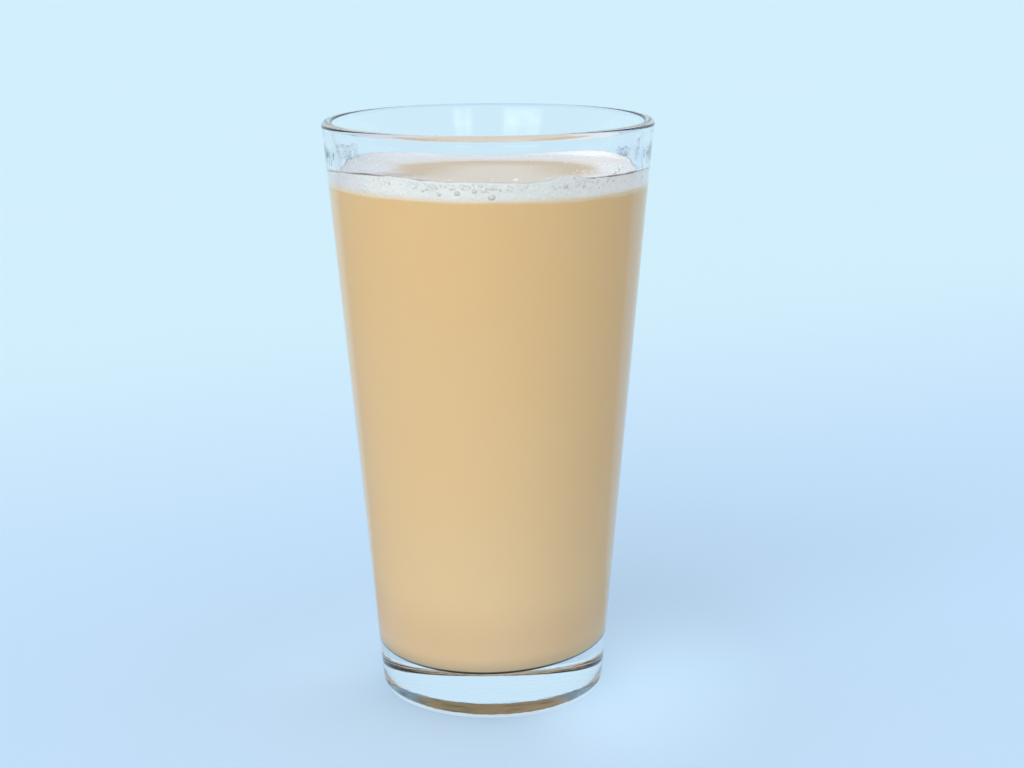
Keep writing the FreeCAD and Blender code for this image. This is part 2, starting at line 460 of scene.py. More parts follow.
def beside_backdrop(nodes, x, y):
    """0 over the pale backdrop behind the glass, 1 to its left and right."""
    aside = nodes.maths("ARCTAN2", x, y)
    left, right, soft = (math.radians(a) for a in (-44.0, 56.0, 6.0))
    return nodes.maths("MAXIMUM", nodes.ramp(aside, left + soft, left - soft),
                       nodes.ramp(aside, right - soft, right + soft))


def add_sky(scene, settings):
    """The plain backdrop for the camera, the studio for what the glass bends and
    mirrors, and even light for all the rest."""
    world = bpy.data.worlds.new("soft_sky")
    world.use_nodes = True
    nodes = Nodes(world.node_tree)
    path = nodes.add("ShaderNodeLightPath")
    studio = nodes.tree.nodes["Background"]
    tone = studio_tone(nodes, settings, path.outputs["Is Reflection Ray"])
    nodes.fill(studio, {"Color": tone, "Strength": 1.0})
    light = nodes.add("ShaderNodeBackground", {"Color": (0.97, 0.985, 1.0),
                                               "Strength": settings.sky_level})
    plain = nodes.add("ShaderNodeBackground", {"Color": settings.far_floor})
    in_glass = nodes.maths("MAXIMUM", path.outputs["Is Glossy Ray"],
                           path.outputs["Is Transmission Ray"])
    result = nodes.switch(in_glass, light.outputs[0], studio.outputs[0])
    result = nodes.switch(path.outputs["Is Camera Ray"], result, plain.outputs[0])
    nodes.feed(nodes.tree.nodes["World Output"].inputs["Surface"], result)
    scene.world = world


def studio_tone(nodes, settings, mirrored):
    """Pale behind the glass, dark above and in front, greyer where mirrored, with two
    windows in front."""
    way = nodes.add("ShaderNodeTexCoord").outputs["Generated"]
    x, y, z = nodes.parts(way)
    high_sky = (0.62, 0.83, 0.985)
    window = (2.3, 2.6, 2.35)
    front = nodes.maths("MAXIMUM", nodes.ramp(y, 0.0, -0.35),
                        nodes.times(mirrored, beside_backdrop(nodes, x, y)))
    dark = nodes.maths("MAXIMUM", front, nodes.ramp(z, 0.55, 0.80))
    room = nodes.blend(mirrored, settings.dark_room, settings.grey_room)
    pale = nodes.blend(nodes.ramp(z, 0.05, 0.35), settings.far_floor, high_sky)
    tone = nodes.blend(dark, pale, room)
    aside = nodes.maths("ARCTAN2", x, nodes.times(y, -1.0))
    uneven = nodes.ramp(nodes.noise(way, 7.0, 3.0), 0.3, 0.6, 0.35, 1.0)
    tall = nodes.times(nodes.ramp(z, 0.10, 0.20), nodes.ramp(z, 0.46, 0.36), uneven)
    for left, right in ((-44.0, -9.0), (9.0, 29.0)):
        left, right, soft = (math.radians(a) for a in (left, right, 6.0))
        lit = nodes.times(nodes.ramp(aside, left, left + soft),
                          nodes.ramp(aside, right, right - soft), tall)
        tone = nodes.blend(lit, tone, window)
    return tone


def add_lamp(settings):
    """A wide soft lamp from the front left, which the glass doesn't show."""
    data = bpy.data.lights.new("soft_lamp", "SUN")
    data.energy = settings.key_level
    data.angle = math.radians(60.0)
    data.color = (1.0, 0.985, 0.96)
    lamp = bpy.data.objects.new("soft_lamp", data)
    bpy.context.scene.collection.objects.link(lamp)
    lamp.visible_glossy = False
    lamp.visible_transmission = False
    left, up = math.radians(28.0), math.radians(20.0)
    toward = Vector((-math.sin(left) * math.cos(up), -math.cos(left) * math.cos(up),
                     math.sin(up)))
    lamp.rotation_euler = toward.to_track_quat("Z", "Y").to_euler()


def add_camera(scene):
    """A camera in front, placed in heights of the glass, looking slightly down."""
    back, up = 3.3225 * HEIGHT, 1.3353 * HEIGHT
    down, right, roll = (math.radians(a) for a in (13.462, 0.648, -0.369))
    data = bpy.data.cameras.new("camera")
    data.sensor_width = 36.0
    data.lens = 69.17
    camera = bpy.data.objects.new("camera", data)
    scene.collection.objects.link(camera)
    forward = Vector((math.sin(right) * math.cos(down),
                      math.cos(right) * math.cos(down), -math.sin(down)))
    turn = forward.to_track_quat("-Z", "Y").to_matrix() @ Matrix.Rotation(roll, 3, "Z")
    camera.matrix_world = Matrix.Translation((0.0, -back, up)) @ turn.to_4x4()
    scene.camera = camera


# ----------------------------------------------------------------- tumbler

class LATTE_OT_tumbler(bpy.types.Operator):
    """Adds the clear tumbler, with its thick base and fire-polished lip"""
    bl_idname = "latte.tumbler"
    bl_label = "Tumbler"

    def execute(self, context):
        section = foot_section() + wall_section() + lip_section() + bore_section()
        points, faces = turned(section, mover=lean_floor)
        new_piece("clear_tumbler", points, faces, clear_glass(), ["tumbler"])
        return {"FINISHED"}


def lip_centre():
    """Radius and level of the centre of the lip's round."""
    s = bpy.context.scene.tumbler
    level = HEIGHT - s.lip_radius
    return wall_radius(level) + s.lip_proud - s.lip_radius, level


def foot_section():
    """From the middle of the hollow, down its flank and over the ring of the foot."""
    s = bpy.context.scene.tumbler
    ring = s.foot_radius - s.foot_round - s.foot_ring
    edge = ring - s.hollow_flank
    flank = (s.hollow_flank ** 2 + s.hollow_rise ** 2) / (2 * s.hollow_rise)
    section = [(0.0, s.hollow_rise)]
    section += [(r, s.hollow_rise) for r in steps_between(0.0, edge, 4)]
    for r in [edge] + steps_between(edge, ring, 16) + [ring]:
        drop = flank - math.sqrt(flank ** 2 - (r - edge) ** 2)
        section.append((r, s.hollow_rise - drop))
    lip_level = lip_centre()[1]
    wall_top = (wall_radius(lip_level), lip_level)
    return section + fillet((0.0, 0.0), (s.foot_radius, 0.0), wall_top, s.foot_round, 16)


def wall_section():
    """Up the outside, to where the wall starts to swell to the lip."""
    s = bpy.context.scene.tumbler
    ends = 4 * MM
    swell = lip_centre()[1] - s.lip_swell
    section = [(wall_radius(z), z) for z in steps_between(ends, HEIGHT - ends, 24)]
    return section + [(wall_radius(swell), swell)]


def lip_section():
    """Over the rounded lip, from the outside to the inside."""
    radius = bpy.context.scene.tumbler.lip_radius
    axis, level = lip_centre()
    steps = 28
    angles = [math.pi * i / steps for i in range(steps + 1)]
    return [(axis + radius * math.cos(a), level + radius * math.sin(a)) for a in angles]


def bore_section():
    """Down the inside, round the corner and over the floor to the axis."""
    s = bpy.context.scene.tumbler
    axis, lip_level = lip_centre()
    draw = HEIGHT - s.lip_draw
    straight_from = HEIGHT - 14 * MM
    draw_corner = (bore_radius(draw), draw)
    floor_corner = (bore_radius(FLOOR_LEVEL), FLOOR_LEVEL)
    section = fillet((axis - s.lip_radius, lip_level), draw_corner, floor_corner,
                     s.lip_blend, 12)
    section += [(bore_radius(z), z) for z in steps_between(straight_from, CORNER_TOP, 22)]
    section += fillet(draw_corner, floor_corner, (0.0, FLOOR_LEVEL), s.floor_corner, 16)
    section += [(r, FLOOR_LEVEL) for r in steps_between(section[-1][0], 0.0, 10)]
    return section + [(0.0, FLOOR_LEVEL)]


def clear_glass():
    """Polished clear glass, slightly rippled, and more finely so near the foot."""
    material, nodes, shader = new_material("clear_glass")
    point = nodes.point()
    level = nodes.parts(point)[2]
    ripple = nodes.noise(point, 45.0, 1.0)
    pressed = nodes.times(nodes.noise(point, 420.0, 3.0),
                          nodes.ramp(level, 4.5 * MM, 1 * MM, 0.0, 8.0))
    height = nodes.maths("ADD", ripple, pressed)
    bump = nodes.add("ShaderNodeBump", {"Strength": 0.35, "Distance": 0.04 * MM,
                                        "Height": height})
    nodes.fill(shader, {"Base Color": bpy.context.scene.tumbler.tint, "Roughness": 0.0,
                        "IOR": 1.52, "Transmission Weight": 1.0,
                        "Normal": bump.outputs[0]})
    lit_through(nodes, shader)
    return material


# ------------------------------------------------------------------- latte

class LATTE_OT_coffee(bpy.types.Operator):
    """Adds the milky coffee from the inside floor up to the foam"""
    bl_idname = "latte.coffee"
    bl_label = "Latte"

    def execute(self, context):
        points, faces = turned(coffee_section(), mover=lean_floor)
        new_piece("latte_fill", points, faces, milky_coffee(), ["latte"])
        return {"FINISHED"}


def coffee_section():
    """Along the inside floor, up the wall and back over the top, reaching just into the
    glass."""
    reach = bpy.context.scene.latte_drink.wall_reach
    round_off = bpy.context.scene.tumbler.floor_corner + reach
    bottom = FLOOR_LEVEL - reach
    corner = (bore_radius(FLOOR_LEVEL) + reach, bottom)
    top = (bore_radius(LATTE_TOP) + reach, LATTE_TOP)
    bend = fillet((0.0, bottom), corner, top, round_off, 16)
    section = [(0.0, bottom)]
    section += [(r, bottom) for r in steps_between(0.0, bend[0][0], 10)]
    section += bend
    section += [(bore_radius(z) + reach, z) for z in steps_between(CORNER_TOP, LATTE_TOP, 30)]
    section += [top]
    section += [(r, LATTE_TOP) for r in steps_between(top[0], 0.0, 6)]
    return section + [(0.0, LATTE_TOP)]


def milky_coffee():
    """Tan latte, with a dark line of painted shade round its lower corner and an underside in
    painted shade, mottled and ringed with painted glints.
    """
    material, nodes, shader = new_material("milky_coffee")
    point = nodes.point()
    x, y, z = nodes.parts(point)
    upward = nodes.parts(nodes.normal())[2]
    # Painted shade where the lower corner faces down: near black in front, grey-blue at the
    # sides.
    front_line_shade, side_line_shade = (0.045, 0.026, 0.015), (0.24, 0.26, 0.29)
    aside = nodes.ramp(nodes.maths("ABSOLUTE", x), 8 * MM, 22 * MM)
    corner_shade = nodes.blend(aside, front_line_shade, side_line_shade)
    tone = coffee_side(nodes, point, x, z)
    tone = nodes.blend(nodes.ramp(upward, -0.77, -0.83), tone, corner_shade)
    tone = nodes.blend(nodes.ramp(upward, -0.985, -0.999), tone,
                       coffee_underside(nodes, point, x, y))
    nodes.fill(shader, {"Base Color": tone, "Roughness": 0.4, "Specular IOR Level": 0.0})
    return material


def coffee_side(nodes, point, x, z):
    """Cloudy latte, duller low down, that pales to cream just under the foam."""
    drink = bpy.context.scene.latte_drink
    cloudy, low, shaded = (0.80, 0.59, 0.33), (0.78, 0.62, 0.42), (0.92, 0.875, 0.86)
    cloud = nodes.ramp(nodes.noise(point, 22.0, 3.0, Roughness=0.55), 0.3, 0.7, 0.0, 0.35)
    tone = nodes.blend(cloud, drink.latte, cloudy)
    tone = nodes.blend(nodes.ramp(z, 125 * MM, 15 * MM, 0.0, 0.35), tone, low)
    tone = nodes.blend(nodes.ramp(z, 34 * MM, 18 * MM), tone, shaded, "MULTIPLY")
    wander = nodes.noise(point, 120.0, 3.0)
    edge = nodes.maths("MULTIPLY_ADD", x, 0.015, nodes.maths("SUBTRACT", z, 0.6 * MM))
    edge = nodes.maths("MULTIPLY_ADD", wander, 1.2 * MM, edge)
    creamy = nodes.ramp(edge, LATTE_TOP - 0.9 * MM, LATTE_TOP + 0.3 * MM)
    return nodes.blend(creamy, tone, drink.cream)


def coffee_underside(nodes, point, x, y):
    """Painted shade for the latte seen from below: darker, redder latte, mottled in the middle,
    and broken grey painted glints round it.
    """
    underside_shade = bpy.context.scene.latte_drink.underside_shade
    dark, dull, bright = (0.22, 0.14, 0.08), (0.36, 0.37, 0.36), (0.75, 0.80, 0.82)
    mottled = nodes.ramp(nodes.noise(point, 230.0, 4.0), 0.48, 0.68, 0.0, 0.7)
    middle = nodes.blend(mottled, underside_shade, dark)
    # Painted highlights: broken grey glints round the underside's edge.
    broken = nodes.ramp(nodes.noise(point, 400.0, 2.0), 0.45, 0.6)
    glints = nodes.blend(broken, dull, bright)
    outer = nodes.ramp(nodes.distance(x, y), 13 * MM, 16 * MM)
    return nodes.blend(outer, middle, glints)


# -------------------------------------------------------------------- foam

def edge_climb(angle):
    """How far the foam climbs the wall, round the glass.  The right front stretch is
    lower than the left one, with a short rise before it."""
    climb = (EDGE_MEAN - EDGE_LOBE * math.cos(EDGE_LOBES * angle)
             - EDGE_LEAN * math.sin(angle) + EDGE_LEAN * math.sin(3 * angle))
    for middle, spread, rise in EDGE_HUMPS:
        off = (math.degrees(angle) % 360 - middle) / spread
        climb += rise * math.exp(-off * off)
    wander = noise.noise(Vector(polar(1.0, angle, 3.0)) * 6.0)
    return MM * (climb + 0.16 * wander)


def foam_height(radius, angle):
    """Level of the foam's top: a smooth middle, a lumpy collar round it, and an edge that
    climbs the wall."""
    drink = bpy.context.scene.latte_drink
    wall = bore_radius(drink.foam_level)
    spot = Vector(polar(radius, angle))
    collar = smooth_step((radius - drink.patch_radius + 2 * MM) / (5 * MM))
    edge = smooth_step((radius - wall + drink.edge_width) / drink.edge_width)
    lumps = noise.noise(spot * 420.0) * 0.10 + noise.noise(spot * 1100.0) * 0.07
    swell = noise.noise(spot * 90.0) * 0.12
    uneven = (lumps * (0.25 + 0.75 * collar) + swell) * MM
    climb = (edge_climb(angle) - drink.collar_rise) * edge
    return drink.foam_level + drink.collar_rise * collar + climb + uneven


class LATTE_OT_foam(bpy.types.Operator):
    """Adds the milk foam, which climbs the wall unevenly"""
    bl_idname = "latte.foam"
    bl_label = "Milk foam"

    def execute(self, context):
        steps, top_rings, side_rings = 360, 110, 4
        points = foam_top(top_rings, steps)
        points += foam_side(points[-steps:], side_rings)
        points.append((0.0, 0.0, LATTE_TOP))
        faces = closed_rings(top_rings + side_rings, steps)
        new_piece("foam_layer", points, faces, wet_foam(), ["milk_foam"])
        return {"FINISHED"}


def foam_top(rings, steps):
    """Points of the top, from the middle out, with the rings closest by the wall."""
    drink = bpy.context.scene.latte_drink
    points = [(0.0, 0.0, foam_height(0.0, 0.0))]
    for j in range(1, rings + 1):
        share = j / rings
        share = share * (1.55 - 0.55 * share)
        for k in range(steps):
            angle = TURN * k / steps
            rim = bore_radius(drink.foam_level + edge_climb(angle)) + drink.wall_reach
            radius = rim * share
            points.append(polar(radius, angle, foam_height(radius, angle)))
    return points


def foam_side(edge, rings):
    """Points down the wall, from the edge of the top to the latte."""
    reach = bpy.context.scene.latte_drink.wall_reach
    points = []
    for j in range(1, rings + 1):
        share = j / rings
        for k, corner in enumerate(edge):
            level = corner[2] * (1 - share) + LATTE_TOP * share
            points.append(polar(bore_radius(level) + reach, TURN * k / len(edge), level))
    return points


def closed_rings(rings, steps):
    """Faces over rings of points, closed by one point before them and one after."""
    faces = [(0, 1 + k, 1 + (k + 1) % steps) for k in range(steps)]
    for j in range(rings - 1):
        a = 1 + j * steps
        for k in range(steps):
            n = (k + 1) % steps
            faces.append((a + k, a + steps + k, a + steps + n, a + n))
    rim = 1 + (rings - 1) * steps
    last = rim + steps
    return faces + [(last, rim + (k + 1) % steps, rim + k) for k in range(steps)]


def wet_foam():
    """Wet milk foam: white froth round a smooth beige middle."""
    drink = bpy.context.scene.latte_drink
    material, nodes, shader = new_material("wet_foam")
    point = nodes.point()
    x, y, z = nodes.parts(point)
    # Painted shade: greyer between the froth's fine cells.
    cell_gap_shade = (0.66, 0.64, 0.60)
    cloud = nodes.maths("SUBTRACT", nodes.noise(point, 110.0, 5.0), 0.5)
    shade, height = add_froth(nodes, point, 1.1 * MM)
    white = nodes.blend(nodes.times(shade, 0.2), white_froth(nodes, x, y, cloud),
                        cell_gap_shade)
    tone, middle = coffee_patch(nodes, x, y, cloud, white)
    edge = nodes.maths("MULTIPLY_ADD", x, 0.015, z)
    edge = nodes.maths("MULTIPLY_ADD", cloud, 1 * MM, edge)
    low = nodes.ramp(edge, LATTE_TOP - 0.2 * MM, LATTE_TOP + 1.3 * MM, 0.9, 0.0)
    bump = nodes.add("ShaderNodeBump", {"Strength": 0.4, "Distance": 0.2 * MM,
                                        "Height": height})
    nodes.fill(shader, {"Base Color": nodes.blend(low, tone, drink.cream),
                        "Roughness": nodes.ramp(middle, 0.0, 1.0, 0.55, 0.35),
                        "Specular IOR Level": 0.3, "Normal": bump.outputs[0]})
    return material


def white_froth(nodes, x, y, cloud):
    """Pale froth, whiter by the wall, greyer far to the left and brightest to the right."""
    drink = bpy.context.scene.latte_drink
    grey_left, bright_right = (0.76, 0.75, 0.82), (0.99, 0.99, 0.99)
    by_wall = nodes.ramp(nodes.distance(x, y), 36.8 * MM, 38 * MM)
    tone = nodes.blend(by_wall, drink.pale_foam, drink.white_foam)
    left = nodes.ramp(nodes.maths("MULTIPLY_ADD", cloud, 10 * MM, x), -26 * MM, -34 * MM,
                      0.0, 0.7)
    tone = nodes.blend(left, tone, grey_left)
    return nodes.blend(nodes.ramp(x, 16 * MM, 32 * MM), tone, bright_right)


def coffee_patch(nodes, x, y, cloud, froth):
    """Lays the beige middle over the froth, with a tan arc inside its back edge, a faint
    halo behind it and a brown tail to its left.  Gives back the colour, and the middle
    as a mask."""
    drink = bpy.context.scene.latte_drink
    brown_tail = (0.58, 0.46, 0.40)

    def distance_from(across, along):
        return nodes.distance(nodes.maths("SUBTRACT", x, across),
                              nodes.maths("SUBTRACT", y, along))

    past = nodes.maths("SUBTRACT", distance_from(1.5 * MM, -9 * MM), 22.5 * MM)
    past = nodes.maths("MULTIPLY_ADD", cloud, 10 * MM, past)
    middle = nodes.ramp(past, 1 * MM, 4 * MM, 1.0, 0.0)
    arc = nodes.times(nodes.ramp(past, -1 * MM, 6 * MM, 1.0, 0.0),
                      nodes.ramp(past, -17 * MM, -2 * MM),
                      nodes.ramp(y, -20 * MM, -8 * MM), 0.95)
    halo = nodes.times(nodes.ramp(past, 3 * MM, 16 * MM, 0.5, 0.0),
                       nodes.ramp(y, -5 * MM, 8 * MM))
    tail = nodes.maths("MULTIPLY_ADD", cloud, 10 * MM, distance_from(-22.5 * MM, -10 * MM))
    tail = nodes.times(nodes.ramp(tail, 2 * MM, 7.5 * MM, 1.0, 0.0), 0.6)
    tone = nodes.blend(nodes.maths("MAXIMUM", middle, halo), froth, drink.beige_foam)
    tone = nodes.blend(arc, tone, drink.tan_foam)
    tone = nodes.blend(tail, tone, brown_tail)
    return tone, middle


# ----------------------------------------------------------------- bubbles

def wall_point(angle, level, reach=0.0):
    """A point on the inside of the wall, or so far past it."""
    return Vector(polar(bore_radius(level) + reach, angle, level))


def wall_axes(angle):
    """Directions along the wall, up it and out of it."""
    along = Vector((-math.sin(angle), math.cos(angle), 0.0))
    out = Vector(polar(1.0, angle))
    return along, Vector((0.0, 0.0, 1.0)), out


def bubble_size(pick, smallest, largest, rate):
    """A random radius, from millimetres to metres, with most bubbles near the smallest."""
    return min(largest, smallest + pick.expovariate(rate)) * MM


def add_blob(points, faces, centre, axes, sizes, rings, steps, low):
    """Adds an ellipsoid, from its pole down to a latitude of low quarter turns.  Gives
    back how far each point lies from the pole, 0 to 1."""
    first = len(points)
    shares = [0.0]
    points.append(tuple(centre + axes[2] * sizes[2]))
    for j in range(1, rings + 1):
        tilt = math.pi / 2 * (1 - low) * j / rings
        for k in range(steps):
            turn = TURN * k / steps
            points.append(tuple(centre
                                + axes[0] * sizes[0] * math.sin(tilt) * math.cos(turn)
                                + axes[1] * sizes[1] * math.sin(tilt) * math.sin(turn)
                                + axes[2] * sizes[2] * math.cos(tilt)))
            shares.append(j / rings)
    for k in range(steps):
        n = (k + 1) % steps
        faces.append((first, first + 1 + k, first + 1 + n))
        for j in range(rings - 1):
            a = first + 1 + j * steps
            faces.append((a + k, a + steps + k, a + steps + n, a + n))
    last = first + 1 + (rings - 1) * steps
    faces.append(tuple(last + steps - 1 - k for k in range(steps)))
    return shares


class LATTE_OT_wall_bubbles(bpy.types.Operator):
    """Adds the bubbles of the foam that are pressed against the wall"""
    bl_idname = "latte.wall_bubbles"
    bl_label = "Wall bubbles"

    def execute(self, context):
        drink = context.scene.latte_drink
        pick = random.Random(drink.seed)
        points, faces, shares, shade_depths = [], [], [], []
        for angle, level, size, shade_depth in large_bubbles() + small_bubbles(pick):
            angle = math.radians(angle)
            centre = wall_point(angle, level, drink.wall_reach - 0.1 * size)
            sizes = (size * pick.uniform(0.95, 1.25), size * pick.uniform(0.85, 1.0),
                     0.28 * size)
            new = add_blob(points, faces, centre, wall_axes(angle), sizes,
                           rings=5, steps=16, low=0.0)
            shares += new
            shade_depths += [shade_depth] * len(new)
        piece = new_piece("wall_bubbles", points, faces, bubble_shading())
        for name, values in (("rim", shares), ("shade_depth", shade_depths)):
            layer = piece.data.attributes.new(name, "FLOAT", "POINT")
            layer.data.foreach_set("value", values)
        return {"FINISHED"}


def large_bubbles():
    """The bubbles that stand out in front, each with its angle, level, radius and depth of
    painted shade.  The spots are in degrees round the glass and millimetres over the latte."""
    shade_depth = 0.75
    spots = ((-89, 1.3, 0.85), (-101, 2.2, 0.65), (-95, 2.7, 0.6), (-112, 3.0, 0.45),
             (-108.5, 3.4, 0.4), (-107.5, 1.8, 0.5), (-62, 3.2, 0.6), (-88.5, 3.2, 0.35),
             (-86, 2.9, 0.35), (-103, 3.3, 0.45), (-99, 3.4, 0.4), (-116, 3.4, 0.3),
             (-113.5, 2.5, 0.35), (-91, 2.8, 0.4), (-54.5, 2.8, 0.4))
    return [(angle, LATTE_TOP + rise * MM, size * MM, shade_depth) for angle, rise, size in spots]


def small_bubbles(pick):
    """Clusters of small bubbles below the foam's edge, and more of them all round."""
    drink = bpy.context.scene.latte_drink
    all_round = 180
    bubbles = []
    for middle, spread, count in ((-102, 9, 110), (-86, 5, 30), (-54, 7, 40),
                                  (-130, 25, 40), (0, all_round, 120)):
        for _ in range(count):
            if spread == all_round:
                angle = pick.uniform(0, 360)
            else:
                angle = pick.gauss(middle, spread)
            top = drink.foam_level + edge_climb(math.radians(angle)) - 0.5 * MM
            level = top - abs(pick.gauss(0.0, 1.0)) * MM
            size = bubble_size(pick, 0.12, 0.5, 9.0)
            if level > LATTE_TOP + 0.6 * MM:
                bubbles.append((angle, level, size, pick.uniform(0.1, 0.6)))
    return bubbles


def bubble_shading():
    """Painted shade in the bubbles pressed on the wall: greyish hollows, with a darker ring
    inside each bubble's outline, most so where it faces down."""
    drink = bpy.context.scene.latte_drink
    material, nodes, shader = new_material("bubble_shading")
    pale_bubble_shade, dull_bubble_shade, dark_ring_shade = (0.70, 0.68, 0.62), (0.62, 0.58, 0.51), (0.42, 0.35, 0.29)
    rim = nodes.add("ShaderNodeAttribute", attribute_name="rim").outputs["Fac"]
    shade_depth = nodes.add("ShaderNodeAttribute", attribute_name="shade_depth").outputs["Fac"]
    upward = nodes.parts(nodes.normal())[2]
    cloud = nodes.noise(nodes.point(), 900.0, 2.0)
    # Painted shade: a dark ring inside the outline, strongest where the bubble faces down.
    ring = nodes.times(nodes.ramp(rim, 0.25, 0.7), nodes.ramp(rim, 1.0, 0.8),
                       nodes.ramp(upward, 0.3, -0.3, 0.4, 1.0))
    tone = nodes.blend(nodes.ramp(cloud, 0.3, 0.7), pale_bubble_shade, dull_bubble_shade)
    tone = nodes.blend(ring, tone, dark_ring_shade)
    # The shade depth sets how much painted shade shows over the white foam.
    tone = nodes.blend(shade_depth, drink.white_foam, tone)
    nodes.fill(shader, {"Base Color": tone, "Roughness": 0.25})
    return material


class LATTE_OT_froth(bpy.types.Operator):
    """Adds the fine bubbles that stand on the foam, and those left on the wall above it"""
    bl_idname = "latte.froth"
    bl_label = "Froth"

    def execute(self, context):
        pick = random.Random(context.scene.latte_drink.seed + 1)
        points, faces = [], []
        add_standing_froth(points, faces, pick)
        add_wall_froth(points, faces)
        new_piece("froth_bubbles", points, faces, froth_skin())
        return {"FINISHED"}


def add_standing_froth(points, faces, pick):
    """Three single bubbles on the smooth middle, then many more, thickest by the wall but
    with none in the front middle."""
    drink = bpy.context.scene.latte_drink
    wall = bore_radius(drink.foam_level)
    axes = (Vector((1, 0, 0)), Vector((0, 1, 0)), Vector((0, 0, 1)))
    spots = [(6.7 * MM, -23.4 * MM, 0.9 * MM), (11 * MM, -3 * MM, 0.4 * MM),
             (20 * MM, 6 * MM, 0.4 * MM)]
    for _ in range(drink.froth_count):
        radius = wall - abs(pick.gauss(0.0, 6.5 * MM)) - 0.6 * MM
        angle = pick.uniform(0, TURN)
        size = bubble_size(pick, 0.10, 0.45, 11.0)
        x, y, _ = polar(radius, angle)
        if y > -24 * MM or abs(x) > 22 * MM:
            spots.append((x, y, size))
    for x, y, size in spots:
        level = foam_height(math.hypot(x, y), math.atan2(y, x))
        add_blob(points, faces, Vector((x, y, level)), axes, (size, size, 0.7 * size),
                 rings=4, steps=10, low=-0.2)


def add_wall_froth(points, faces):
    """Small bubbles on the wall above the foam: degrees round the glass, millimetres over
    the latte and radius in millimetres."""
    for angle, rise, size in ((165, 7.0, 0.35), (163, 6.4, 0.3), (167, 5.8, 0.4),
                              (160, 7.5, 0.25), (157, 7.9, 0.3), (170, 5.0, 0.3),
                              (-39, 5.1, 0.35), (-37, 5.7, 0.3), (-35, 6.2, 0.25),
                              (-40, 4.7, 0.3), (16, 6.4, 0.25), (12, 5.7, 0.3)):
        angle = math.radians(angle)
        size *= MM
        centre = wall_point(angle, LATTE_TOP + rise * MM)
        add_blob(points, faces, centre, wall_axes(angle), (size, 1.5 * size, -0.5 * size),
                 rings=5, steps=12, low=0.0)


def froth_skin():
    """Pale milky bubbles, flecked with beige."""
    drink = bpy.context.scene.latte_drink
    material, nodes, shader = new_material("froth_skin")
    shade, _ = add_froth(nodes, nodes.point(), 0.6 * MM)
    tone = nodes.blend(nodes.times(shade, 0.3), drink.pale_foam, drink.beige_foam)
    nodes.fill(shader, {"Base Color": tone, "Roughness": 0.3, "Specular IOR Level": 0.35})
    return material


class LATTE_OT_drops(bpy.types.Operator):
    """Adds the clear bubbles and the wet streaks left on the inside of the wall"""
    bl_idname = "latte.drops"
    bl_label = "Drops and streaks"

    def execute(self, context):
        pick = random.Random(context.scene.latte_drink.seed + 2)
        points, faces = clear_bubbles(pick)
        new_piece("clear_bubbles", points, faces, wet_film("clear_bubble", 1.2))
        points, faces = wet_streaks(pick)
        new_piece("wet_streaks", points, faces, wet_film("wet_streak", 1.28))
        return {"FINISHED"}


def clear_bubbles(pick):
    """Points and faces of two patches of clear bubbles, on the left and on the right."""
    points, faces = [], []
    for middle, spread, low, high, count in ((166, 9, 3.6, 9.4, 110), (17, 6, 4.0, 7.6, 60)):
        for _ in range(count):
            angle = math.radians(middle + pick.uniform(-spread, spread))
            level = LATTE_TOP + (low + (high - low) * pick.random() ** 1.4) * MM
            size = bubble_size(pick, 0.22, 0.9, 4.5)
            centre = wall_point(angle, level, -0.35 * size)
            add_blob(points, faces, centre, wall_axes(angle), (size, size, size),
                     rings=8, steps=14, low=-0.95)
    return points, faces


def wet_streaks(pick):
    """Points and faces of two sets of slanting streaks, on the right and on the left."""
    points, faces = [], []
    for middle, spread, low, high, slant, count in ((-14, 8, 5.4, 12.0, -0.55, 18),
                                                    (-166, 6, 5.3, 9.8, 0.7, 9)):
        for _ in range(count):
            angle = math.radians(middle + pick.uniform(-spread, spread))
            level = LATTE_TOP + pick.uniform(low, high) * MM
            along, up, out = wall_axes(angle)
            lean = slant + pick.uniform(-0.2, 0.2)
            long = (up + along * lean).normalized()
            centre = wall_point(angle, level, -0.02 * MM)
            sizes = (pick.uniform(0.18, 0.36) * MM, pick.uniform(0.8, 1.9) * MM, 0.3 * MM)
            add_blob(points, faces, centre, (long.cross(out), long, out), sizes,
                     rings=10, steps=12, low=-0.95)
    return points, faces


def wet_film(name, bend):
    """Clear wet film; bend is how strongly it bends light."""
    material, nodes, shader = new_material(name)
    clear, dull = (0.97, 0.98, 1.0), (0.90, 0.92, 0.95)
    tone = nodes.blend(nodes.noise(nodes.point(), 700.0, 2.0), clear, dull)
    nodes.fill(shader, {"Base Color": tone, "Roughness": 0.05, "IOR": bend,
                        "Coat Weight": 0.8, "Transmission Weight": 1.0})
    lit_through(nodes, shader)
    return material


class LATTE_OT_waterline(bpy.types.Operator):
    """Adds a thin line of painted shade where the foam meets the wall"""
    bl_idname = "latte.waterline"
    bl_label = "Waterline"

    def execute(self, context):
        steps, around = 540, 6
        points, faces = [], []
        for k in range(steps):
            points += line_ring(TURN * k / steps, around)
            n = (k + 1) % steps
            for j in range(around):
                m = (j + 1) % around
                faces.append((k * around + j, n * around + j, n * around + m, k * around + m))
        new_piece("waterline", points, faces, waterline_shade())
        return {"FINISHED"}


def line_ring(angle, around):
    """Points round the line at an angle.  It is thickest at both sides and thinnest at
    the back."""
    flat = 1.6
    level = bpy.context.scene.latte_drink.foam_level + edge_climb(angle) - 0.05 * MM
    centre = wall_point(angle, level)
    _, up, out = wall_axes(angle)
    uneven = 0.07 * noise.noise(out * 9.0) + 0.04 * noise.noise(out * 40.0)
    sides = 0.12 * smooth_step((abs(out.x) - 0.4) / 0.4)
    back = 0.6 * smooth_step(out.y * 2)
    thick = max(0.03, (0.10 + uneven + sides) * (1 - back)) * MM
    turns = [TURN * j / around for j in range(around)]
    return [tuple(centre + out * thick * flat * math.cos(turn) + up * thick * math.sin(turn))
            for turn in turns]


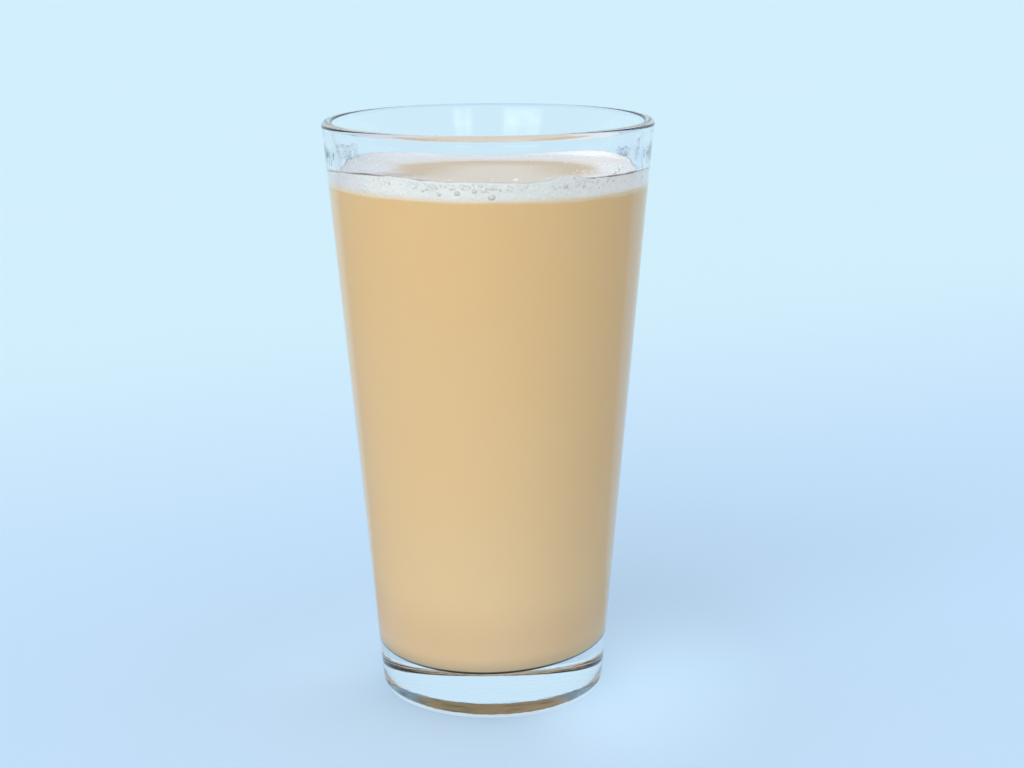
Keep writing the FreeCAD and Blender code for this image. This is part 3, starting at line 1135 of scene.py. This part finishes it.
def waterline_shade():
    """Painted shade along the foam's edge at the wall: darkest in patches and at the sides, and
    grey at the back.
    """
    material, nodes, shader = new_material("waterline_shade")
    point = nodes.point()
    x, y, _ = nodes.parts(point)
    # Colours of the painted shade line: pale, dark, and grey-blue at the back.
    pale_foam, dark_line_shade, grey_back_shade = (0.60, 0.57, 0.55), (0.26, 0.20, 0.19), (0.50, 0.54, 0.60)
    patches = nodes.ramp(nodes.noise(point, 60.0, 3.0), 0.35, 0.65)
    sides = nodes.ramp(nodes.maths("ABSOLUTE", x), 8 * MM, 26 * MM)
    dark = nodes.times(patches, nodes.ramp(sides, 0.0, 1.0, 0.5, 1.0))
    tone = nodes.blend(dark, pale_foam, dark_line_shade)
    tone = nodes.blend(nodes.ramp(y, -5 * MM, 12 * MM), tone, grey_back_shade)
    nodes.fill(shader, {"Base Color": tone, "Roughness": 0.5})
    return material


# ------------------------------------------------------------------- panel

STEPS = ("latte.stage", "latte.tumbler", "latte.coffee", "latte.foam",
         "latte.wall_bubbles", "latte.froth", "latte.drops", "latte.waterline")


class LATTE_PT_steps(bpy.types.Panel):
    """Lists the steps that build the glass of latte"""
    bl_idname = "LATTE_PT_steps"
    bl_label = "Glass of latte"
    bl_space_type = "VIEW_3D"
    bl_region_type = "UI"
    bl_category = "Latte"

    def draw(self, context):
        for step in STEPS:
            self.layout.operator(step)
        for group in (context.scene.tumbler, context.scene.latte_drink,
                      context.scene.latte_stage):
            box = self.layout.box()
            for name in group.__annotations__:
                box.prop(group, name)


CLASSES = (TumblerSettings, DrinkSettings, StageSettings, LATTE_OT_stage,
           LATTE_OT_tumbler, LATTE_OT_coffee, LATTE_OT_foam, LATTE_OT_wall_bubbles,
           LATTE_OT_froth, LATTE_OT_drops, LATTE_OT_waterline, LATTE_PT_steps)


def register():
    for cls in CLASSES:
        bpy.utils.register_class(cls)
    bpy.types.Scene.tumbler = PointerProperty(type=TumblerSettings)
    bpy.types.Scene.latte_drink = PointerProperty(type=DrinkSettings)
    bpy.types.Scene.latte_stage = PointerProperty(type=StageSettings)


def unregister():
    del bpy.types.Scene.latte_stage
    del bpy.types.Scene.latte_drink
    del bpy.types.Scene.tumbler
    for cls in reversed(CLASSES):
        bpy.utils.unregister_class(cls)


def main():
    register()
    for step in STEPS:
        group, name = step.split(".")
        getattr(getattr(bpy.ops, group), name)()


if __name__ == "__main__":
    main()
